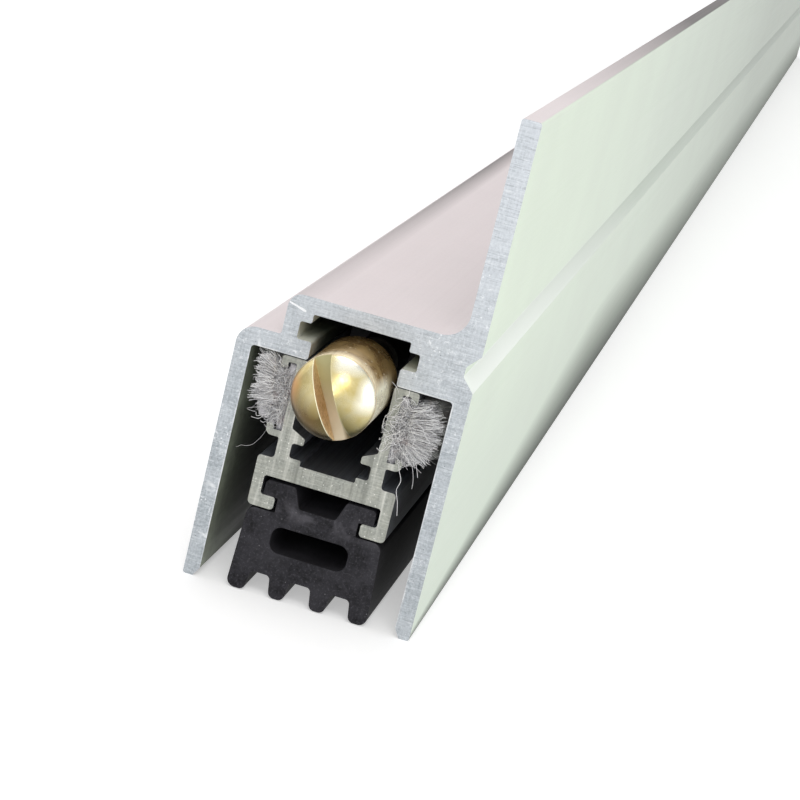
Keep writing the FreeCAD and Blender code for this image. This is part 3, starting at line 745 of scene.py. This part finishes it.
def make_plunger(material):
    """Turned, slotted nose piece with softened edges."""
    around = plunger_around
    profile = plunger_profile()
    vertices, faces = [], []
    for radius, place in profile[1:-1]:
        for i in range(around):
            angle = 2 * math.pi * i / around
            vertices.append(Vector((radius * math.sin(angle), place + front_y_mm,
                                    axis_z_mm + radius * math.cos(angle))) * MM)
    rings = len(profile) - 2
    for ring in range(rings - 1):
        for i in range(around):
            j = (i + 1) % around
            a, b = ring * around, (ring + 1) * around
            faces.append((a + i, a + j, b + j, b + i))
    first = len(vertices)
    vertices.append(Vector((0.0, profile[0][1] + front_y_mm, axis_z_mm)) * MM)
    vertices.append(Vector((0.0, profile[-1][1] + front_y_mm, axis_z_mm)) * MM)
    last = (rings - 1) * around
    for i in range(around):
        j = (i + 1) % around
        faces.append((first, j, i))
        faces.append((first + 1, last + i, last + j))
    piece = new_piece("plunger_turned", vertices, faces, material)
    cutter = plunger_slot_cutter()
    cut = piece.modifiers.new("slot", "BOOLEAN")
    cut.operation = "DIFFERENCE"
    cut.solver = "EXACT"
    cut.object = cutter
    soften = piece.modifiers.new("edges", "BEVEL")
    soften.width = plunger_edge_mm * MM
    soften.segments = 2
    soften.limit_method = "ANGLE"
    soften.angle_limit = math.radians(35.0)
    soften.harden_normals = False
    apply_modifiers(piece)
    bpy.data.objects.remove(cutter)
    piece.data.shade_smooth()
    piece.data.set_sharp_from_angle(angle=math.radians(40.0))
    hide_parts("plunger")
    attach(piece, BODY_PLUNGER)


def plunger_slot_cutter():
    """Block as wide as the slot, from 1 mm in front of the nose to the slot's floor."""
    box = bmesh.new()
    bmesh.ops.create_cube(box, size=1.0)
    depth = 1.0 + plunger_dome_mm + plunger_slot_floor_mm
    floor = front_y_mm + plunger_rim_mm + plunger_slot_floor_mm
    size = Vector((plunger_slot_mm, depth, 3 * plunger_radius_mm)) * MM
    middle = Vector((0.0, floor - depth / 2, axis_z_mm)) * MM
    turn = Matrix.Rotation(-plunger_slot_turn, 4, "Y")
    box.transform(Matrix.Translation(middle) @ turn @ Matrix.Diagonal(size.to_4d()))
    mesh = bpy.data.meshes.new("slot_cutter")
    box.to_mesh(mesh)
    box.free()
    cutter = bpy.data.objects.new("slot_cutter", mesh)
    bpy.context.scene.collection.objects.link(cutter)
    return cutter


def tube(path, radius, sides, vertices, faces):
    """Append one closed-end tube along a path of points, in metres."""
    start = len(vertices)
    reference = Vector((0.31, 0.11, 0.94))  # a direction that threads hardly ever follow
    for i, point in enumerate(path):
        ahead = path[min(i + 1, len(path) - 1)] - path[max(i - 1, 0)]
        ahead.normalize()
        side = ahead.cross(reference)
        if side.length < 1e-6:
            side = ahead.cross(Vector((1.0, 0.0, 0.0)))
        side.normalize()
        other = ahead.cross(side)
        for k in range(sides):
            angle = 2 * math.pi * k / sides
            vertices.append(point + (side * math.cos(angle) + other * math.sin(angle)) * radius)
    for i in range(len(path) - 1):
        for k in range(sides):
            a = start + i * sides + k
            b = start + i * sides + (k + 1) % sides
            faces.append((a, b, b + sides, a + sides))
    faces.append(tuple(start + k for k in reversed(range(sides))))
    faces.append(tuple(start + (len(path) - 1) * sides + k for k in range(sides)))


def make_spring(material):
    """Round-wire coil around the rod's axis."""
    per_turn = 28
    count = spring_turns * per_turn
    path = []
    for i in range(count + 1):
        angle = 2 * math.pi * i / per_turn
        y = spring_start_mm + spring_wire_mm
        y += (spring_length_mm - 2 * spring_wire_mm) * i / count
        path.append(Vector((spring_mean_mm * math.sin(angle), y,
                            axis_z_mm + spring_mean_mm * math.cos(angle))) * MM)
    vertices, faces = [], []
    tube(path, spring_wire_mm * MM, wire_sides, vertices, faces)
    piece = new_piece("return_spring_wire", vertices, faces, material)
    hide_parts("return_spring")
    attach(piece, BODY_HOUSING)
    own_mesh(piece)


def inside_cavity(point):
    """The point itself, or the nearest one clear of the legs and roof and near the ends."""
    limit = cavity_half_mm - 0.1
    return Vector((max(-limit, min(limit, point.x)),
                   max(front_y_mm - fringe_front_mm,
                       min(far_y_mm + fringe_back_mm, point.y)),
                   min(point.z, cavity_top_mm - 0.12)))


def scatter(rng, amount):
    return Vector((rng.gauss(0, amount), rng.gauss(0, amount), rng.gauss(0, amount)))


def bowed_path(rng, start, end, steps, bow, crimp):
    """Thread that bends once between two points and wavers a little; millimetres."""
    middle = scatter(rng, bow)
    path = []
    waver = Vector()
    for i in range(steps + 1):
        t = i / steps
        point = start.lerp(end, t) + middle * (4 * t * (1 - t))
        waver = waver * 0.5 + scatter(rng, crimp)
        path.append(inside_cavity(point + waver * t) * MM)
    return path


def make_tufts(name, tufts, material, seed, end_y, outward):
    """Frayed tufts at one sawn end; each goes from its root to its tip across the section."""
    rng = random.Random(seed)
    vertices, faces = [], []
    for root, tip in tufts:
        for layer in range(tuft_layers):
            depth = -outward * (tuft_layer_gap_mm * layer - tuft_layer_ahead_mm)
            lean = outward * rng.uniform(0.05, 0.55)
            shift = scatter(rng, 0.10 + 0.05 * layer)
            for _ in range(tuft_threads):
                start = Vector((root[0], end_y + depth, root[1])) + scatter(rng, 0.17)
                end = Vector((tip[0], end_y + depth + lean, tip[1])) + shift + scatter(rng, 0.20)
                end = start.lerp(end, rng.uniform(0.58, 1.0))
                path = bowed_path(rng, start, end, 6, 0.16, 0.055)
                tube(path, rng.uniform(*tuft_fibre_mm) * MM, fibre_sides, vertices, faces)
    return finish_threads(name, vertices, faces, material)


def make_mat(name, side, material, seed, end_y, outward):
    """Matted short ends of the pile over the cut of the backing and the track lips."""
    rng = random.Random(seed)
    vertices, faces = [], []
    for _ in range(mat_threads):
        height = rng.betavariate(1.6, 1.6)
        start = Vector((side * rng.uniform(5.9, 7.5), end_y + outward * rng.uniform(-0.5, 0.35),
                        mouth_low_mm + 0.1 + height * (mouth_high_mm - mouth_low_mm - 0.2)))
        way = Vector((side * rng.uniform(-0.5, 1.0), outward * rng.uniform(0.0, 0.4),
                      rng.gauss(0, 0.7)))
        end = start + way.normalized() * rng.uniform(0.5, 1.3)
        path = bowed_path(rng, start, end, 5, 0.22, 0.06)
        tube(path, rng.uniform(*mat_fibre_mm) * MM, fibre_sides, vertices, faces)
    return finish_threads(name, vertices, faces, material)


def finish_threads(name, vertices, faces, material):
    piece = new_piece(name, vertices, faces, material)
    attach(piece, BODY_BAR)
    return piece


def make_pile_body(name, side, material, seed):
    """Woven backing and the ridged mass of pile along the whole strip."""
    rng = random.Random(seed)
    low_z, high_z = mouth_low_mm + 0.3, mouth_high_mm - 0.3
    outline = [(track_wall_mm, track_floor_mm), (backing_face_mm, track_floor_mm),
               (backing_face_mm, low_z), (mouth_outside_mm, low_z), *pile_bulge,
               (mouth_outside_mm, high_z), (backing_face_mm, high_z),
               (backing_face_mm, backing_top_mm), (track_wall_mm, backing_top_mm)]
    loose = range(4, 4 + len(pile_bulge))  # only the bulge wavers from slice to slice
    count = len(outline)
    start_y, end_y = front_y_mm + 0.25, far_y_mm
    vertices, faces = [], []
    drift = [0.0] * count
    for row in range(mass_slices + 1):
        y = start_y + (end_y - start_y) * row / mass_slices
        from_end = min(y - start_y, end_y - y)
        fullness = 0.35 + 0.65 * min(1.0, from_end / 5.0)
        for k, (x, z) in enumerate(outline):
            if k in loose:
                drift[k] = 0.55 * drift[k] + rng.gauss(0, 0.16)
                reach = (x - 0.15 + 0.5 * drift[k] - mouth_outside_mm) * fullness
                rise = (z - mouth_middle_mm + drift[k] * 0.6) * (0.7 + 0.3 * fullness)
                x = min(mouth_outside_mm + reach, cavity_half_mm - 0.2)
                z = min(mouth_middle_mm + rise, cavity_top_mm - 0.35)
            shift = rng.uniform(-0.25, 0.25) if k in loose and 0 < row < mass_slices else 0.0
            vertices.append(Vector((side * x, y + shift, z)) * MM)
    for row in range(mass_slices):
        for k in range(count):
            a = row * count + k
            b = row * count + (k + 1) % count
            quad = (a, b, b + count, a + count)
            faces.append(quad if side < 0 else quad[::-1])
    ends = (tuple(range(count)), tuple(mass_slices * count + k for k in range(count)))
    faces.append(ends[0] if side > 0 else ends[0][::-1])
    faces.append(ends[1] if side < 0 else ends[1][::-1])
    return new_piece(name, vertices, faces, material)


def make_side_fibres(name, side, material, seed):
    """Threads that stand out of the pile all along the strip."""
    rng = random.Random(seed)
    vertices, faces = [], []
    for _ in range(side_threads):
        y = rng.uniform(front_y_mm + 3.0, far_y_mm - 0.5)
        height = rng.uniform(-side_spread_mm, side_spread_mm)
        start = Vector((side * rng.uniform(8.0, 9.6), y, mouth_middle_mm + height * 1.05))
        way = Vector((side, rng.gauss(0, 0.3),
                      height / side_spread_mm * 0.8 + rng.gauss(0, 0.3)))
        end = start + way.normalized() * rng.uniform(1.0, 1.9)
        path = bowed_path(rng, start, end, 4, 0.15, 0.05)
        tube(path, rng.uniform(*side_fibre_mm) * MM, fibre_sides, vertices, faces)
    return finish_threads(name, vertices, faces, material)


def make_stray_threads(material):
    """The loose threads of the photograph, and short ones that curl over the cut pile.

    The one that hangs behind the sawn end is half as thick as the others.
    """
    routes = list(stray_routes)
    rng = random.Random(stray_seed)
    for _ in range(random_strays):
        x, z = rng.uniform(5.6, 7.2), rng.uniform(19.6, 24.6)
        loop = [(x, z)]
        turn = rng.uniform(2.2, 4.0)
        for _ in range(rng.randint(3, 5)):
            x = max(4.5, x + stray_step_mm * math.cos(turn))
            z = z + stray_step_mm * math.sin(turn)
            turn += rng.uniform(-1.3, 1.3)
            loop.append((x, z))
        routes.append((rng.uniform(0.3, 1.0), loop))
    vertices, faces = [], []
    for ahead, route in routes:
        last = len(route) - 1
        knots = [Vector((x, front_y_mm - 0.1 - ahead * min(1.0, 3 * i / last), z))
                 for i, (x, z) in enumerate(route)]
        path = []
        for i in range(last):
            before, after = knots[max(i - 1, 0)], knots[min(i + 2, last)]
            path += [spline_point(before, knots[i], knots[i + 1], after, step / 5.0) * MM
                     for step in range(5)]
        path.append(knots[-1] * MM)
        fineness = 0.5 if ahead < 0 else 1.0
        radius = rng.uniform(*stray_fibre_mm) * fineness * MM
        tube(path, radius, stray_sides, vertices, faces)
    finish_threads("pile_stray_threads", vertices, faces, material)


def spline_point(a, b, c, d, t):
    """Point on the smooth curve through b and c."""
    return 0.5 * ((2 * b) + (c - a) * t + (2 * a - 5 * b + 4 * c - d) * t * t
                  + (3 * b - a - 3 * c + d) * t * t * t)


def seen_rays(tree):
    """1 for the rays that show the background to the camera, in gloss and through glass."""
    rays = tree.nodes.new("ShaderNodeLightPath")
    total = rays.outputs["Is Camera Ray"]
    for name in ("Is Glossy Ray", "Is Transmission Ray"):
        either = tree.nodes.new("ShaderNodeMath")
        either.operation = "MAXIMUM"
        tree.links.new(total, either.inputs[0])
        tree.links.new(rays.outputs[name], either.inputs[1])
        total = either.outputs[0]
    return total


def floor_material():
    """Pale paper that keeps shadows, with a glow that grows away from the object."""
    material = bpy.data.materials.new("floor_paper")
    material.use_nodes = True
    tree = material.node_tree
    tree.nodes.clear()
    diffuse = tree.nodes.new("ShaderNodeBsdfDiffuse")
    diffuse.inputs["Color"].default_value = (floor_colour,) * 3 + (1.0,)
    glow = tree.nodes.new("ShaderNodeEmission")
    glow.inputs["Color"].default_value = white_light
    away = tree.nodes.new("ShaderNodeVectorMath")
    away.operation = "LENGTH"
    tree.links.new(tree.nodes.new("ShaderNodeTexCoord").outputs["Object"], away.inputs[0])
    level = tree.nodes.new("ShaderNodeMapRange")
    level.interpolation_type = "SMOOTHSTEP"
    tree.links.new(away.outputs["Value"], level.inputs["Value"])
    for socket, value in (("From Min", glow_near_reach), ("From Max", glow_far_reach),
                          ("To Min", floor_glow_near), ("To Max", floor_glow_far)):
        level.inputs[socket].default_value = value
    strength = tree.nodes.new("ShaderNodeMath")
    strength.operation = "MULTIPLY"
    tree.links.new(level.outputs["Result"], strength.inputs[1])
    tree.links.new(seen_rays(tree), strength.inputs[0])
    tree.links.new(strength.outputs[0], glow.inputs["Strength"])
    both = tree.nodes.new("ShaderNodeAddShader")
    tree.links.new(diffuse.outputs[0], both.inputs[0])
    tree.links.new(glow.outputs[0], both.inputs[1])
    out = tree.nodes.new("ShaderNodeOutputMaterial")
    tree.links.new(both.outputs[0], out.inputs["Surface"])
    return material


def make_floor():
    mesh = bpy.data.meshes.new("floor")
    reach = floor_reach
    mesh.from_pydata([(-reach, -reach, 0), (reach, -reach, 0), (reach, reach, 0),
                      (-reach, reach, 0)], [], [(0, 1, 2, 3)])
    mesh.materials.append(floor_material())
    floor = bpy.data.objects.new("floor", mesh)
    bpy.context.scene.collection.objects.link(floor)


def make_world():
    """Soft studio surroundings; white where the camera or a reflection sees them."""
    world = bpy.data.worlds.new("studio")
    bpy.context.scene.world = world
    world.use_nodes = True
    tree = world.node_tree
    tree.nodes.clear()
    soft = tree.nodes.new("ShaderNodeBackground")
    soft.inputs["Color"].default_value = white_light
    soft.inputs["Strength"].default_value = world_light
    white = tree.nodes.new("ShaderNodeBackground")
    white.inputs["Color"].default_value = white_light
    white.inputs["Strength"].default_value = 1.0
    mix = tree.nodes.new("ShaderNodeMixShader")
    tree.links.new(seen_rays(tree), mix.inputs[0])
    tree.links.new(soft.outputs[0], mix.inputs[1])
    tree.links.new(white.outputs[0], mix.inputs[2])
    out = tree.nodes.new("ShaderNodeOutputWorld")
    tree.links.new(mix.outputs[0], out.inputs["Surface"])


def area_light(name, place, target, size, power):
    light = bpy.data.lights.new(name, "AREA")
    light.shape = "DISK"
    light.size = size
    light.energy = power
    lamp = bpy.data.objects.new(name, light)
    lamp.location = place
    aim = Vector(target) - Vector(place)
    lamp.rotation_euler = aim.to_track_quat("-Z", "Y").to_euler()
    lamp.visible_camera = False
    bpy.context.scene.collection.objects.link(lamp)


def make_camera():
    data = bpy.data.cameras.new("photo_camera")
    data.lens = camera_lens_mm
    data.sensor_width = camera_sensor_mm
    data.clip_start = 0.01
    data.clip_end = 20.0
    camera = bpy.data.objects.new("photo_camera", data)
    axes = Matrix((camera_right, camera_up, camera_back)).transposed().to_4x4()
    camera.matrix_world = Matrix.Translation(camera_place) @ axes
    bpy.context.scene.collection.objects.link(camera)
    bpy.context.scene.camera = camera


def dress_solids():
    plated = steel_material("zinc_plated_steel", srgb(132, 134, 138), srgb(172, 174, 178), 0.34)
    dark = steel_material("hardened_steel", srgb(92, 93, 96), srgb(132, 133, 136), 0.32)
    nylon = nylon_material()
    assign("housing", housing_material())
    assign("drop_bar", drop_bar_material())
    assign("rubber_seal", rubber_material())
    assign("front_rod", threaded_steel_material())
    for node in ("link_rod", "tail_rod", "spring_collar", "cam_plate_front", "cam_plate_rear",
                 "bracket_front", "bracket_rear", "guide_plate_front_left",
                 "guide_plate_front_right", "guide_plate_rear_left", "guide_plate_rear_right"):
        assign(node, plated)
    for node in ("rod_pins", "collar_screw", "follower_pin_front", "follower_pin_rear",
                 "bracket_screws"):
        assign(node, dark)
    for node in ("front_rod_guide", "stop_rod_guide", "spring_seat", "middle_rod_guide",
                 "rear_rod_guide"):
        assign(node, nylon)


def dress_soft_parts():
    bright = pile_material("pile_thread", srgb(182, 181, 185), srgb(255, 255, 255))
    loose = pile_material("pile_loose_thread", srgb(214, 213, 215), srgb(250, 249, 250))
    dull = pile_material("pile_mass", srgb(136, 135, 139), srgb(212, 210, 214))
    for name, side, tufts, seed in (("left", -1, left_tufts, left_seed),
                                    ("right", 1, right_tufts, right_seed)):
        body = make_pile_body("pile_mass_" + name, side, dull, seed)
        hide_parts("pile_strip_" + name)
        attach(body, BODY_BAR)
        make_tufts("pile_front_" + name, tufts, bright, seed + 1, front_y_mm, -1)
        make_tufts("pile_back_" + name, tufts, bright, seed + 2, far_y_mm, 1)
        make_mat("pile_mat_front_" + name, side, bright, seed + 3, front_y_mm, -1)
        make_mat("pile_mat_back_" + name, side, bright, seed + 4, far_y_mm, 1)
        make_side_fibres("pile_side_" + name, side, bright, seed + 5)
    make_stray_threads(loose)


def main():
    dress_solids()
    make_plunger(brass_material())
    make_spring(steel_material("spring_steel", srgb(104, 105, 108), srgb(150, 151, 154), 0.3))
    dress_soft_parts()
    make_floor()
    make_world()
    for lamp in lamps:
        area_light(*lamp)
    make_camera()
    bpy.context.scene.view_settings.view_transform = "Standard"


main()
